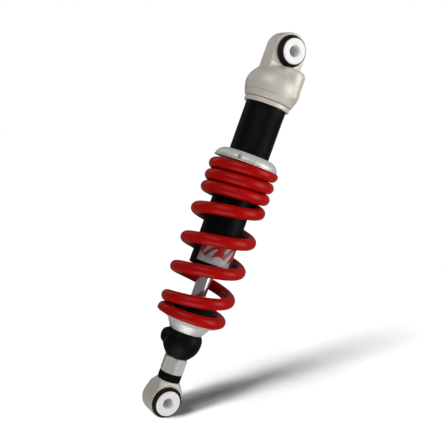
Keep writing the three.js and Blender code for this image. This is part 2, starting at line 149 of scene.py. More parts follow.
class Nodes:
    """Short calls for the shader nodes that the materials share. Sizes are in millimetres."""

    def __init__(self, name):
        self.material = bpy.data.materials.new(name)
        self.material.use_nodes = True
        self.tree = self.material.node_tree
        self.shader = self.tree.nodes["Principled BSDF"]
        self.coords = self.tree.nodes.new("ShaderNodeTexCoord").outputs["Object"]

    def new(self, kind, **values):
        node = self.tree.nodes.new(kind)
        for key, value in values.items():
            setattr(node, key, value)
        return node

    def give(self, socket, value):
        """Links a socket to another, or sets it to a number or a colour."""
        if isinstance(value, bpy.types.NodeSocket):
            self.tree.links.new(value, socket)
        elif isinstance(value, tuple):
            socket.default_value = (*value, 1)
        else:
            socket.default_value = value

    def noise(self, size, detail=3.0, stretch=(1, 1, 1)):
        mapping = self.new("ShaderNodeMapping")
        mapping.inputs["Scale"].default_value = stretch
        self.give(mapping.inputs["Vector"], self.coords)
        node = self.new("ShaderNodeTexNoise")
        node.inputs["Scale"].default_value = 1 / (size * MM)
        node.inputs["Detail"].default_value = detail
        self.give(node.inputs["Vector"], mapping.outputs["Vector"])
        return node.outputs["Fac"]

    def spread(self, value, low_out, high_out, low_in=0.3, high_in=0.7):
        node = self.new("ShaderNodeMapRange")
        ends = {"From Min": low_in, "From Max": high_in, "To Min": low_out, "To Max": high_out}
        for socket, end in ends.items():
            node.inputs[socket].default_value = end
        self.give(node.inputs["Value"], value)
        return node.outputs["Result"]

    def maths(self, operation, *values):
        node = self.new("ShaderNodeMath", operation=operation)
        for socket, value in zip(node.inputs, values):
            self.give(socket, value)
        return node.outputs["Value"]

    def mix(self, factor, a, b):
        node = self.new("ShaderNodeMix", data_type="RGBA")
        colours = [s for s in node.inputs if s.type == "RGBA"]
        self.give(node.inputs["Factor"], factor)
        self.give(colours[0], a)
        self.give(colours[1], b)
        return next(s for s in node.outputs if s.type == "RGBA")

    def bump(self, height, depth, strength, below=None):
        node = self.new("ShaderNodeBump")
        node.inputs["Strength"].default_value = strength
        node.inputs["Distance"].default_value = depth * MM
        self.give(node.inputs["Height"], height)
        if below:
            self.give(node.inputs["Normal"], below)
        return node.outputs["Normal"]

    def place(self):
        """x, y and z of the point."""
        node = self.new("ShaderNodeSeparateXYZ")
        self.give(node.inputs[0], self.coords)
        return node.outputs["X"], node.outputs["Y"], node.outputs["Z"]

    def finish(self, **values):
        for key, value in values.items():
            self.give(self.shader.inputs[key.replace("_", " ")], value)
        return self.material


# ---------------------------------------------------------------- materials

def champagne_aluminium():
    n = Nodes("champagne_aluminium")
    grain = n.noise(0.5, 2)
    cloud = n.spread(n.noise(14, 4), 0, 1)
    colour = n.mix(cloud, (0.67, 0.62, 0.54), (0.75, 0.71, 0.625))
    return n.finish(
        Base_Color=n.mix(n.spread(grain, 0, 0.35), colour, (0.50, 0.475, 0.41)),
        Metallic=0.25,
        Roughness=n.spread(n.noise(2.5), 0.42, 0.56),
        Normal=n.bump(grain, 0.05, 0.35, n.bump(n.noise(3), 0.12, 0.25)),
    )


def turned_metal(name, light, dark, roughness, step, metallic):
    """Tool marks run round the axis, a step apart along it and along its radius."""
    n = Nodes(name)
    x, y, z = n.place()
    radius = n.maths("SQRT", n.maths("ADD", n.maths("MULTIPLY", x, x), n.maths("MULTIPLY", y, y)))
    marks = n.maths("SINE", n.maths("MULTIPLY", n.maths("ADD", radius, z), 2 * math.pi / (step * MM)))
    return n.finish(
        Base_Color=n.mix(n.spread(n.noise(3), 0, 1), dark, light),
        Metallic=metallic,
        Roughness=n.spread(n.noise(1.2), roughness, roughness + 0.12),
        Normal=n.bump(marks, 0.01, 0.5, n.bump(n.noise(5, 2), 0.05, 0.2)),
    )


def turned_aluminium():
    return turned_metal("turned_aluminium", (0.86, 0.86, 0.83), (0.72, 0.71, 0.68), 0.34, 0.45, 0.4)


def bright_sleeve():
    return turned_metal("bright_sleeve", (0.92, 0.91, 0.90), (0.85, 0.84, 0.83), 0.4, 0.35, 0.1)


def steel():
    return turned_metal("steel", (0.78, 0.75, 0.71), (0.62, 0.59, 0.55), 0.36, 0.6, 0.5)


def bronze():
    n = Nodes("bronze")
    pores = n.noise(0.35, 2)
    return n.finish(
        Base_Color=n.mix(n.spread(pores, 0, 1), (0.42, 0.27, 0.12), (0.58, 0.40, 0.20)),
        Metallic=0.9,
        Roughness=n.spread(n.noise(2), 0.35, 0.5),
        Normal=n.bump(pores, 0.02, 0.4),
    )


def chrome_rod():
    n = Nodes("chrome_rod")
    scratches = n.noise(0.6, 3, (1, 1, 9))
    return n.finish(
        Base_Color=n.mix(n.spread(n.noise(20), 0, 1), (0.74, 0.73, 0.77), (0.84, 0.84, 0.87)),
        Metallic=1.0,
        Roughness=n.spread(scratches, 0.16, 0.26),
        Normal=n.bump(scratches, 0.004, 0.4),
    )


def black_anodised():
    n = Nodes("black_anodised")
    fine = n.noise(0.6, 2)
    return n.finish(
        Base_Color=n.mix(n.spread(n.noise(12, 4), 0, 1), (0.0015, 0.0015, 0.002), (0.003, 0.003, 0.003)),
        Specular_IOR_Level=0.09,
        Roughness=n.spread(n.noise(4), 0.42, 0.56),
        Normal=n.bump(fine, 0.015, 0.4),
    )


def black_rubber():
    n = Nodes("black_rubber")
    fine = n.noise(0.7)
    return n.finish(
        Base_Color=n.mix(n.spread(n.noise(6, 4), 0, 1), (0.004, 0.004, 0.004), (0.008, 0.008, 0.008)),
        Specular_IOR_Level=0.2,
        Roughness=n.spread(fine, 0.62, 0.8),
        Normal=n.bump(fine, 0.04, 0.5),
    )


def red_powder_coat():
    n = Nodes("red_powder_coat")
    return n.finish(
        Base_Color=n.mix(n.spread(n.noise(18), 0, 1), (0.38, 0.002, 0.001), (0.46, 0.003, 0.002)),
        Specular_IOR_Level=0.1,
        Roughness=n.spread(n.noise(3, 2), 0.28, 0.36),
        Normal=n.bump(n.noise(1.6, 2), 0.06, 0.45),
        Coat_Weight=0.05,
        Coat_Roughness=0.2,
    )


def printed_label():
    """Slanted red shards of several widths over a silver ground, dark at one end, with no lettering."""
    n = Nodes("printed_label")
    x, y, z = n.place()
    around = n.maths("MULTIPLY", n.maths("ARCTAN2", y, x), TUBE_RADIUS * MM)
    slanted = n.maths("ADD", around, n.maths("MULTIPLY", z, SHARD_SLANT))
    narrow = n.maths("SINE", n.maths("MULTIPLY", slanted, 2 * math.pi / (SHARD_SPACING * MM)))
    wide = n.maths("SINE", n.maths("MULTIPLY", around, 2 * math.pi / (SHARD_GROUPING * MM)))
    wave = n.maths("ADD", narrow, wide)
    edge = n.maths("ADD", LABEL_MIDDLE * MM, n.maths("MULTIPLY", wide, 2 * MM))
    upper = n.maths("GREATER_THAN", z, edge)
    shards = n.maths("MULTIPLY", n.maths("GREATER_THAN", wave, -0.25), upper)
    rim = n.maths("MULTIPLY", n.maths("COMPARE", wave, -0.4, 0.15), upper)
    cloud = n.noise(5)
    silver = n.mix(n.spread(cloud, 0, 1), (0.36, 0.36, 0.37), (0.62, 0.62, 0.63))
    dark_end = n.maths("GREATER_THAN", around, LABEL_DARK_FROM * MM)
    ground = n.mix(dark_end, silver, (0.05, 0.045, 0.045))
    printed = n.mix(rim, ground, (0.10, 0.05, 0.05))
    return n.finish(
        Base_Color=n.mix(shards, printed, (0.52, 0.008, 0.008)),
        Roughness=n.spread(cloud, 0.3, 0.42),
        Normal=n.bump(n.noise(2), 0.01, 0.3),
    )


SLOTS = (
    champagne_aluminium,
    turned_aluminium,
    bright_sleeve,
    steel,
    bronze,
    chrome_rod,
    black_anodised,
    black_rubber,
    red_powder_coat,
)
MATERIALS = {make.__name__: make() for make in SLOTS}


# ---------------------------------------------------------------- mesh helpers

def object_from(name, bm):
    mesh = bpy.data.meshes.new(name)
    bmesh.ops.recalc_face_normals(bm, faces=bm.faces)
    bm.to_mesh(mesh)
    bm.free()
    obj = bpy.data.objects.new(name, mesh)
    bpy.context.scene.collection.objects.link(obj)
    return obj


def finish_piece(obj, body, slot, node=None, sharp=35, material=None):
    """Shades a piece, gives it its material and lets it ride on a body in place of a CAD node."""
    obj.data.shade_smooth()
    obj.data.set_sharp_from_angle(angle=math.radians(sharp))
    obj.data.materials.clear()
    obj.data.materials.append(material or MATERIALS[slot])
    if body:
        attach(obj, body)
    if node:
        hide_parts(node)
    return obj


def piece(node, bm, body, slot):
    """A piece that stands for the CAD node of the same name."""
    return finish_piece(object_from(f"{node}_fine", bm), body, slot, node)


def rounded(points, steps=4):
    """An outline with rounded corners, from (r, z) or (r, z, length cut off each side of a corner)."""
    out = []
    for i, point in enumerate(points):
        here = Vector(point[:2])
        if len(point) == 2:
            out.append(tuple(here))
            continue
        before = here + (Vector(points[i - 1][:2]) - here).normalized() * point[2]
        after = here + (Vector(points[(i + 1) % len(points)][:2]) - here).normalized() * point[2]
        for k in range(steps + 1):
            t = k / steps
            out.append(tuple(before * (1 - t) ** 2 + here * 2 * t * (1 - t) + after * t * t))
    return out


def spun(profile, segments=128, bm=None, matrix=Matrix.Identity(4)):
    """A body of revolution about Z, from (r, z). A profile that isn't on the axis closes on itself."""
    bm = bm or bmesh.new()
    rings = []
    for r, z in profile:
        count = 1 if r < 1e-6 else segments
        angles = [2 * math.pi * j / segments for j in range(count)]
        places = [Vector((r * math.cos(a), r * math.sin(a), z)) * MM for a in angles]
        rings.append([bm.verts.new(matrix @ p) for p in places])
    closed = len(rings[0]) > 1
    for i in range(len(rings) if closed else len(rings) - 1):
        a, b = rings[i], rings[(i + 1) % len(rings)]
        for j in range(segments):
            k = (j + 1) % segments
            corners = [a[j % len(a)], a[k % len(a)], b[k % len(b)], b[j % len(b)]]
            bm.faces.new(list(dict.fromkeys(corners)))
    return bm


def prism(outline, low_z, high_z, bm=None, matrix=Matrix.Identity(4)):
    """An outline in XY, drawn up from one height to another."""
    bm = bm or bmesh.new()
    ends = []
    for z in (low_z, high_z):
        ends.append([bm.verts.new(matrix @ (Vector((x, y, z)) * MM)) for x, y in outline])
    bottom, top = ends
    bm.faces.new(bottom)
    bm.faces.new(top)
    for i in range(len(outline)):
        k = (i + 1) % len(outline)
        bm.faces.new((bottom[i], bottom[k], top[k], top[i]))
    return bm


def box(width, depth, height, centre):
    """A cutting block."""
    x, y = width / 2, depth / 2
    outline = [(-x, -y), (x, -y), (x, y), (-x, y)]
    place = Matrix.Translation(Vector(centre) * MM)
    return prism(outline, -height / 2, height / 2, None, place)


def shifted(x, y, z):
    return Matrix.Translation(Vector((x, y, z)) * MM)


def along_y(z):
    """Lays a body made about Z along Y, at an eye's height."""
    return shifted(0, 0, z) @ Matrix.Rotation(math.radians(90), 4, "X")


def to_side(angle, z):
    """Lays a body made about Z along a radius."""
    turn = Matrix.Rotation(math.radians(angle), 4, "Z") @ Matrix.Rotation(math.radians(90), 4, "Y")
    return shifted(0, 0, z) @ turn


def hexagon(flats, first_corner=0.0):
    corner = flats / 2 / math.cos(math.pi / 6)
    angles = [math.radians(first_corner + 60 * i) for i in range(6)]
    return [(corner * math.cos(a), corner * math.sin(a)) for a in angles]


def arc(radius, start, end, count):
    angles = [math.radians(start + (end - start) * i / count) for i in range(count + 1)]
    return [(radius * math.cos(a), radius * math.sin(a)) for a in angles]


def smooth_curve(points, count):
    """A Catmull-Rom curve through points."""
    out = []
    ends = [points[0], *points, points[-1]]
    for i in range(1, len(ends) - 2):
        p = [Vector(q) for q in ends[i - 1 : i + 3]]
        for k in range(count):
            t = k / count
            slope_a = (p[2] - p[0]) * 0.5
            slope_b = (p[3] - p[1]) * 0.5
            out.append(
                p[1] * (2 * t**3 - 3 * t * t + 1)
                + slope_a * (t**3 - 2 * t * t + t)
                + p[2] * (3 * t * t - 2 * t**3)
                + slope_b * (t**3 - t * t)
            )
    return [tuple(v) for v in out] + [tuple(points[-1])]


def bake(obj):
    """Applies an object's modifiers."""
    graph = bpy.context.evaluated_depsgraph_get()
    mesh = bpy.data.meshes.new_from_object(obj.evaluated_get(graph))
    obj.modifiers.clear()
    obj.data = mesh


def forged(node, bm, voxel=0.7, softness=12):
    """One skin over overlapping bodies, with every corner softened as a forging's is."""
    obj = object_from(f"{node}_fine", bm)
    skin = obj.modifiers.new("skin", "REMESH")
    skin.mode = "VOXEL"
    skin.voxel_size = voxel * MM
    soften = obj.modifiers.new("soften", "SMOOTH")
    soften.factor = 0.5
    soften.iterations = softness
    bake(obj)
    return obj


def machined(obj, *steps):
    """Cuts, joins or keeps bodies in turn. A step is an operation and the body that it works with."""
    tools = []
    for operation, bm in steps:
        tool = object_from("tool", bm)
        tools.append(tool)
        boolean = obj.modifiers.new("machining", "BOOLEAN")
        boolean.operation = operation
        boolean.solver = "EXACT"
        boolean.object = tool
    bake(obj)
    for tool in tools:
        bpy.data.objects.remove(tool)
    return obj


CUT, JOIN, KEEP = "DIFFERENCE", "UNION", "INTERSECT"


SPARE = 0.4  # A forging is this much fuller than the faces that are cut into it.


def lug_bore(eye, width):
    """The cut for a lug's bore, with a chamfer at each face."""
    half = width / 2
    flare = LUG_BORE + 2.6
    profile = [
        (0, -half - 2),
        (flare, -half - 2),
        (LUG_BORE + 0.6, -half),
        (LUG_BORE, -half + 0.6),
        (LUG_BORE, half - 0.6),
        (LUG_BORE + 0.6, half),
        (flare, half + 2),
        (0, half + 2),
    ]
    return spun(profile, 128, None, along_y(EYES[eye]["z"]))


def lug_faces(width, low_z, high_z):
    """The two cuts that leave a lug's faces flat between two heights."""
    middle = (low_z + high_z) / 2
    depth = 20
    offsets = [side * (width + depth) / 2 for side in (-1, 1)]
    return [(CUT, box(60, depth, high_z - low_z, (0, offset, middle))) for offset in offsets]


# ---------------------------------------------------------------- eyes

def add_bush(eye, lug_width):
    """The rubber bush, which tapers along the sleeve from a lip over each face of the lug."""
    node = f"{eye}_eye_bush"
    lip_radius = high(node, X)
    lip_start = lug_width / 2 + GAP
    lip_end = lip_start + 1.3
    nose = high(node, Y)
    inner = high(f"{eye}_eye_sleeve", X) + 0.05
    half = [
        (LUG_BORE - GAP, lip_start),
        (lip_radius, lip_start, 0.2),
        (lip_radius, lip_end, 0.6),
        (inner + 1.6, lip_end + 1.4, 0.8),
        (inner + 0.9, nose, 0.4),
        (inner, nose, 0.2),
    ]
    mirrored = [(r, -z, *cut) for r, z, *cut in reversed(half)]
    profile = rounded(mirrored + half)
    piece(node, spun(profile, 128, None, along_y(EYES[eye]["z"])), EYES[eye]["body"], "black_rubber")


def add_sleeve(eye):
    node = f"{eye}_eye_sleeve"
    radius = high(node, X)
    end = high(node, Y)
    half = [
        (radius, end - 0.6, 0.2),
        (radius - 0.6, end, 0.3),
        (BOLT_BORE + 0.9, end, 0.2),
        (BOLT_BORE, end - 0.9, 0.2),
    ]
    mirrored = [(r, -z, *cut) for r, z, *cut in reversed(half)]
    profile = rounded(mirrored + half)
    bm = spun(profile, 128, None, along_y(EYES[eye]["z"]))
    piece(node, bm, EYES[eye]["sleeve_body"], "bright_sleeve")


# ---------------------------------------------------------------- head, lock ring and gas valve

VALVE_ANGLE = math.radians(-57)
VALVE_OFFSET = 22.0
SHOULDER_OFFSET = 15.7
SHOULDER_RADIUS = 15.6
SHOULDER_BOTTOM = -47.8
CHAMBER_TOP = -32.8


def beside(offset):
    """Moves a body towards the shoulder that holds the gas valve."""
    return shifted(offset * math.cos(VALVE_ANGLE), offset * math.sin(VALVE_ANGLE), 0)


def add_head():
    dome = [(26.4, HEAD_BOTTOM), (28.9, -51.2), (30.5, -43.3), (29.3, -36.4), (26, -30.1), (20, -23.3)]
    body = spun([(0, HEAD_BOTTOM), *smooth_curve(dome, 6), (12, HEAD_TOP - 1.5), (0, HEAD_TOP)], 96)
    shoulder = [
        (0, SHOULDER_BOTTOM),
        (SHOULDER_RADIUS, SHOULDER_BOTTOM),
        (SHOULDER_RADIUS, HEAD_TOP, 7.0),
        (0, HEAD_TOP),
    ]
    spun(rounded(shoulder, 8), 64, body, beside(SHOULDER_OFFSET))
    outline = [*arc(UPPER_LUG_RADIUS, 0, 180, 48), (-UPPER_LUG_RADIUS, CHAMBER_TOP)]
    outline.append((UPPER_LUG_RADIUS, CHAMBER_TOP))
    half = UPPER_LUG_WIDTH / 2 + SPARE
    prism(outline, -half, half, body, along_y(0))

    socket = [
        (0, HEAD_BOTTOM - 2),
        (SEAT_BORE + 2.8, HEAD_BOTTOM - 2),
        (SEAT_BORE, HEAD_BOTTOM + 0.8),
        (SEAT_BORE, TUBE_TOP + GAP),
        (TUBE_BORE, TUBE_TOP + GAP),
        (TUBE_BORE, CHAMBER_TOP),
        (0, CHAMBER_TOP),
    ]
    valve_hole = [(0, CHAMBER_TOP - 1), (3.6, CHAMBER_TOP - 1), (3.6, HEAD_TOP + 5), (0, HEAD_TOP + 5)]
    groove_z = HEAD_BOTTOM + 7
    groove = [(28.4, groove_z - 0.2), (33, groove_z - 0.5), (33, groove_z + 0.5), (28.4, groove_z + 0.2)]
    head = machined(
        forged("head_cap", body),
        *lug_faces(UPPER_LUG_WIDTH, HEAD_TOP + SPARE, UPPER_LUG_RADIUS + 5),
        (CUT, lug_bore("upper", UPPER_LUG_WIDTH)),
        (CUT, spun(socket, 96)),
        (CUT, spun(valve_hole, 48, None, beside(VALVE_OFFSET))),
        (CUT, spun(groove, 96)),
    )
    finish_piece(head, "damper_body", "champagne_aluminium", "head_cap")


def add_valve_plug():
    top = high("gas_valve_plug", Z)
    bottom = low("gas_valve_plug", Z)
    profile = rounded([(0, bottom), (3.3, bottom, 0.3), (3.3, top, 0.5), (0, top)])
    plug = object_from("gas_valve_plug_fine", spun(profile, 48, None, beside(VALVE_OFFSET)))
    machined(plug, (CUT, prism(hexagon(3), top - 2.5, top + 1, None, beside(VALVE_OFFSET))))
    finish_piece(plug, "damper_body", "steel", "gas_valve_plug")


def add_lock_ring():
    profile = [
        (SEAT_BORE, RING_BOTTOM),
        (24.8, RING_BOTTOM, 0.3),
        (25.4, RING_BOTTOM + 0.8, 0.3),
        (25.4, RING_TOP - 1.2, 0.3),
        (24.4, RING_TOP, 0.3),
        (SEAT_BORE, RING_TOP),
    ]
    piece("head_lock_ring", spun(rounded(profile)), "damper_body", "champagne_aluminium")


# ---------------------------------------------------------------- damper tube and its lower end

THREAD_PITCH = 1.5
THREAD_DEPTH = 0.35
THREAD_FADE = 3.0
TUBE_THREAD_TOP = -68.0
TUBE_THREAD_BOTTOM = -168.0


def add_tube():
    """The tube, with a right-handed thread for the preload nut cut along its upper half."""
    segments = 96
    rows_per_pitch = 6
    rows = round((TUBE_THREAD_TOP - TUBE_THREAD_BOTTOM) / THREAD_PITCH * rows_per_pitch)
    outer = [(TUBE_RADIUS, TUBE_END, 0.4)]
    for i in range(rows + 1):
        outer.append((TUBE_RADIUS, TUBE_THREAD_BOTTOM + i * THREAD_PITCH / rows_per_pitch))
    outer.append((TUBE_RADIUS, TUBE_TOP, 0.4))
    bm = spun(rounded([(TUBE_BORE, TUBE_END), *outer, (TUBE_BORE, TUBE_TOP)]), segments)
    for v in bm.verts:
        z = v.co.z / MM
        if v.co.xy.length / MM < TUBE_RADIUS - 0.01 or not TUBE_THREAD_BOTTOM < z < TUBE_THREAD_TOP:
            continue
        turn = z / THREAD_PITCH - math.atan2(v.co.y, v.co.x) / (2 * math.pi)
        fade = min(1, (TUBE_THREAD_TOP - z) / THREAD_FADE, (z - TUBE_THREAD_BOTTOM) / THREAD_FADE)
        cut = THREAD_DEPTH * fade * (0.5 - 0.5 * math.cos(2 * math.pi * turn))
        v.co.xy *= 1 - cut / TUBE_RADIUS
    piece("damper_tube", bm, "damper_body", "black_anodised")


def add_label():
    """The printed label on the tube's lower end, a thin shell over part of its round."""
    start, end = LABEL_ANGLES
    count = 72
    clearance = 0.03
    thickness = 0.1
    inner = TUBE_RADIUS + clearance
    outer = inner + thickness
    angles = [start + (end - start) * i / count for i in range(count + 1)]
    outline = [(outer * math.cos(a), outer * math.sin(a)) for a in angles]
    outline += [(inner * math.cos(a), inner * math.sin(a)) for a in reversed(angles)]
    label = object_from("tube_label", prism(outline, LABEL_BOTTOM, LABEL_TOP))
    finish_piece(label, "damper_body", "black_anodised", None, 35, printed_label())


def add_tube_end():
    top, bottom = high("tube_end_cap", Z), low("tube_end_cap", Z)
    radius = high("tube_end_cap", Y)
    profile = [
        (11.3, bottom, 0.3),
        (radius, bottom, 0.5),
        (radius, top),
        (11.3, top),
    ]
    cap = object_from("tube_end_cap_fine", spun(rounded(profile)))
    holes = 4
    hole_circle = 15.5
    hole_radius = 1.3
    for i in range(holes):
        a = 2 * math.pi * (i + 0.5) / holes
        place = shifted(hole_circle * math.cos(a), hole_circle * math.sin(a), 0)
        hole = [(0, bottom - 1), (hole_radius, bottom - 1), (hole_radius, bottom + 2), (0, bottom + 2)]
        machined(cap, (CUT, spun(hole, 24, None, place)))
    finish_piece(cap, "damper_body", "turned_aluminium", "tube_end_cap")

    wiper_top = high("rod_wiper", Z)
    lip = ROD_RADIUS + 0.1
    wiper = [
        (lip, bottom, 0.2),
        (lip + 1.2, bottom, 0.3),
        (lip + 1.6, bottom + 0.8, 0.2),
        (10.8, bottom + 0.4, 0.2),
        (11, wiper_top),
        (ROD_RADIUS + GAP, wiper_top),
    ]
    piece("rod_wiper", spun(rounded(wiper)), "damper_body", "black_rubber")


# ---------------------------------------------------------------- preload nut and upper seat

def add_preload_nut():
    bottom, top = low("preload_nut", Z), high("preload_nut", Z)
    radius = high("upper_spring_seat", Y) - 1
    profile = [
        (SEAT_BORE, bottom, 0.3),
        (radius, bottom, 0.4),
        (radius, bottom + 2, 0.8),
        (33.5, top - 4.5, 1.5),
        (31, top - 1.8, 1.2),
        (27.5, top, 0.8),
        (SEAT_BORE, top, 0.6),
    ]
    nut = object_from("preload_nut_fine", spun(rounded(profile), 160))
    notches = 4
    first_notch = 226
    notch_floor = 25.5
    half_width = 2.75
    past_edge = 40
    for i in range(notches):
        turn = Matrix.Rotation(math.radians(first_notch + 360 / notches * i), 4, "Z")
        outline = [
            (notch_floor, -half_width),
            (past_edge, -half_width),
            (past_edge, half_width),
            (notch_floor, half_width),
        ]
        slot = prism(outline, bottom - 1, top + 1, None, turn)
        machined(nut, (CUT, slot))
    finish_piece(nut, "preload_ring", "turned_aluminium", "preload_nut")


def add_upper_seat():
    bottom, top = low("upper_spring_seat", Z), high("upper_spring_seat", Z)
    flange_bottom = SPRING_TOP + GAP
    radius = high("upper_spring_seat", Y)
    hub = 24.9
    profile = [
        (SEAT_BORE, bottom, 0.3),
        (hub, bottom, 0.9),
        (hub, flange_bottom, 0.2),
        (radius, flange_bottom, 0.25),
        (radius, top, 0.25),
        (SEAT_BORE, top, 0.3),
    ]
    piece("upper_spring_seat", spun(rounded(profile), 160), "spring_seat", "turned_aluminium")


# ---------------------------------------------------------------- main spring

def pitch_until(turn, rise):
    """Adds up rise(pitch) along the wire until a turn. The pitch changes in straight stretches."""
    steps_per_turn = 40
    total = 0.0
    steps = max(1, round(turn * steps_per_turn))
    for i in range(steps):
        t = (i + 0.5) / steps * turn
        total += rise(np.interp(t, *zip(*TURN_AND_PITCH))) * turn / steps
    return total


def smoothstep(x, start, end):
    t = min(1, max(0, (x - start) / (end - start)))
    return t * t * (3 - 2 * t)


def coil_radius(turn):
    wide = smoothstep(turn, 0.8, 1.9) - smoothstep(turn, 4.1, 4.9)
    return END_COIL_RADIUS + (MIDDLE_COIL_RADIUS - END_COIL_RADIUS) * wide


def coil_point(turn):
    a = SPRING_START_ANGLE + 2 * math.pi * turn
    height = SPRING_START_HEIGHT + pitch_until(turn, lambda pitch: pitch)
    return Vector((coil_radius(turn) * math.cos(a), coil_radius(turn) * math.sin(a), height))


def add_spring():
    steps_per_turn = 72
    around = 32
    bm = bmesh.new()
    rings = []
    turns = []
    last = SPRING_TURNS * steps_per_turn
    # Each end of the wire has a rounded edge: how far the rings there move along it, and shrink.
    edge = [(0, 0.8), (0.23, 0.23), (0.8, 0)]
    trims = {0: edge, last: [(-inset, depth) for inset, depth in reversed(edge)]}
    points = [coil_point(i / steps_per_turn) for i in range(last + 1)]
    for i, centre in enumerate(points):
        tangent = (points[min(i + 1, last)] - points[max(i - 1, 0)]).normalized()
        outward = Vector((centre.x, centre.y, 0)).normalized()
        up = tangent.cross(outward).normalized() * -1
        side = up.cross(tangent).normalized() * -1
        for inset, depth in trims.get(i, [(0, 0)]):
            middle = centre + tangent * inset
            ring = []
            for k in range(around):
                a = 2 * math.pi * k / around
                p = middle + (side * math.cos(a) + up * math.sin(a)) * (WIRE_RADIUS - depth)
                p.z = min(max(p.z, SPRING_BOTTOM), SPRING_TOP)
                ring.append(bm.verts.new(p * MM))
            rings.append(ring)
            turns += [i / steps_per_turn] * around
    for a, b in zip(rings, rings[1:]):
        for k in range(around):
            m = (k + 1) % around
            bm.faces.new((a[k], a[m], b[m], b[k]))
    bm.faces.new(rings[0])
    bm.faces.new(rings[-1])
    spring = object_from("main_spring_fine", bm)
    finish_piece(spring, None, "red_powder_coat", "main_spring", 40)
    let_spring_work(spring, turns)


def let_spring_work(spring, turns):
    """The open turns take up the damper's stroke and the preload, so the wire keeps its thickness."""
    opening = {t: pitch_until(t, lambda pitch: max(pitch - CLOSED_PITCH, 0)) for t in sorted(set(turns))}
    whole = opening[max(opening)]
    share = [1 - opening[t] / whole for t in turns]
    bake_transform(spring)
    carrier = bpy.data.objects.new("spring_seat_carrier", None)
    bpy.context.scene.collection.objects.link(carrier)
    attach(carrier, "spring_seat")
    group = spring.vertex_groups.new(name="preload")
    for i, value in enumerate(share):
        group.add([i], 1 - value, "REPLACE")
    hook = spring.modifiers.new("preload", "HOOK")
    hook.object = carrier
    hook.vertex_group = group.name
    hook.falloff_type = "NONE"
    hook.matrix_inverse = Matrix.Identity(4)


# ---------------------------------------------------------------- rod, bump stop and lower seat

def add_rod():
    top, bottom = high("piston_rod", Z), low("piston_rod", Z)
    spigot_bottom = low("compression_shims", Z) - 2.6
    profile = [
        (2.5, bottom),
        (ROD_THREAD, bottom, 0.5),
        (ROD_THREAD, THREAD_TOP),
        (ROD_RADIUS, THREAD_TOP + 1),
        (ROD_RADIUS, spigot_bottom, 0.4),
        (5, spigot_bottom),
        (5, top, 0.5),
        (2.5, top),
    ]
    rod = object_from("piston_rod_fine", spun(rounded(profile), 96))
    width, height, z = CROSS_SLOT
    machined(rod, (CUT, box(20, width, height, (0, 0, z))))
    finish_piece(rod, "rod_assembly", "chrome_rod", "piston_rod")


def add_bump_stop():
    bottom, top = low("bump_stop", Z), high("bump_stop", Z)
    inner = ROD_RADIUS + GAP
    profile = [
        (inner, bottom),
        (21.5, bottom, 0.8),
        (22.3, bottom + 4, 1.5),
        (20.6, bottom + 8.9, 1.6),
        (22.3, bottom + 13.7, 1.8),
        (20.8, bottom + 18.7, 1.5),
        (18, top, 1.0),
        (inner, top, 0.8),
    ]
    stop = finish_piece(
        object_from("bump_stop_fine", spun(rounded(profile, 5), 96)),
        "rod_assembly",
        "black_rubber",
        "bump_stop",
        50,
    )
    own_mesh(stop)


def add_lower_seat():
    bottom, top = low("lower_spring_seat", Z), high("lower_spring_seat", Z)
    flange = SPRING_BOTTOM - GAP
    hub = 24.9
    profile = [
        (ROD_RADIUS + GAP, bottom, 0.3),
        (18.3, bottom, 0.4),
        (24.5, flange - 4.3, 2.0),
        (31, flange - 1.6, 0.5),
        (31, flange, 0.4),
        (hub, flange),
        (hub, top, 0.9),
        (SEAT_BORE, top, 0.3),
        (SEAT_BORE, flange + 1.9),
        (ROD_RADIUS + GAP, flange + 1.9, 0.3),
    ]
    piece("lower_spring_seat", spun(rounded(profile), 160), "rod_assembly", "turned_aluminium")


# ---------------------------------------------------------------- foot and lower eye

def add_perch():
    bulb = [
        (12.9, PERCH_BOTTOM),
        (18.4, -345.2),
        (21, -338.8),
        (21.5, -331.8),
        (20.6, -326.8),
        (18.2, PERCH_TOP),
    ]
    body = spun([(0, PERCH_BOTTOM), *smooth_curve(bulb, 5), (0, PERCH_TOP)], 96)
    boss = [(0, 10), (9.2, 10), (9.2, 18), (8.6, 21), (7.2, 23.8), (4.6, 25.2), (0, 25.3)]
    spun(boss, 48, body, to_side(BOSS_ANGLE, BOSS_Z))
    bore = [
        (0, PERCH_BOTTOM - 1),
        (ROD_THREAD + GAP, PERCH_BOTTOM - 1),
        (ROD_THREAD + GAP, THREAD_TOP - 1.5),
        (ROD_RADIUS + GAP, THREAD_TOP - 0.5),
        (ROD_RADIUS + GAP, PERCH_TOP + 1),
        (0, PERCH_TOP + 1),
    ]
    screw_hole = [(0, 11.7), (2.8, 11.7), (2.8, 24), (4.6, 25.8), (0, 25.8)]
    perch = machined(
        forged("spring_perch", body, 0.6, 60),
        (CUT, spun(bore, 64)),
        (CUT, spun(screw_hole, 32, None, to_side(BOSS_ANGLE, BOSS_Z))),
    )
    finish_piece(perch, "rod_assembly", "black_anodised", "spring_perch")

    profile = rounded([(0, 12), (2.5, 12, 0.3), (2.5, 22, 0.4), (0, 22)])
    screw = object_from("perch_grub_screw_fine", spun(profile, 32, None, to_side(BOSS_ANGLE, BOSS_Z)))
    machined(screw, (CUT, prism(hexagon(2.5), 19.5, 23, None, to_side(BOSS_ANGLE, BOSS_Z))))
    finish_piece(screw, "rod_assembly", "steel", "perch_grub_screw")


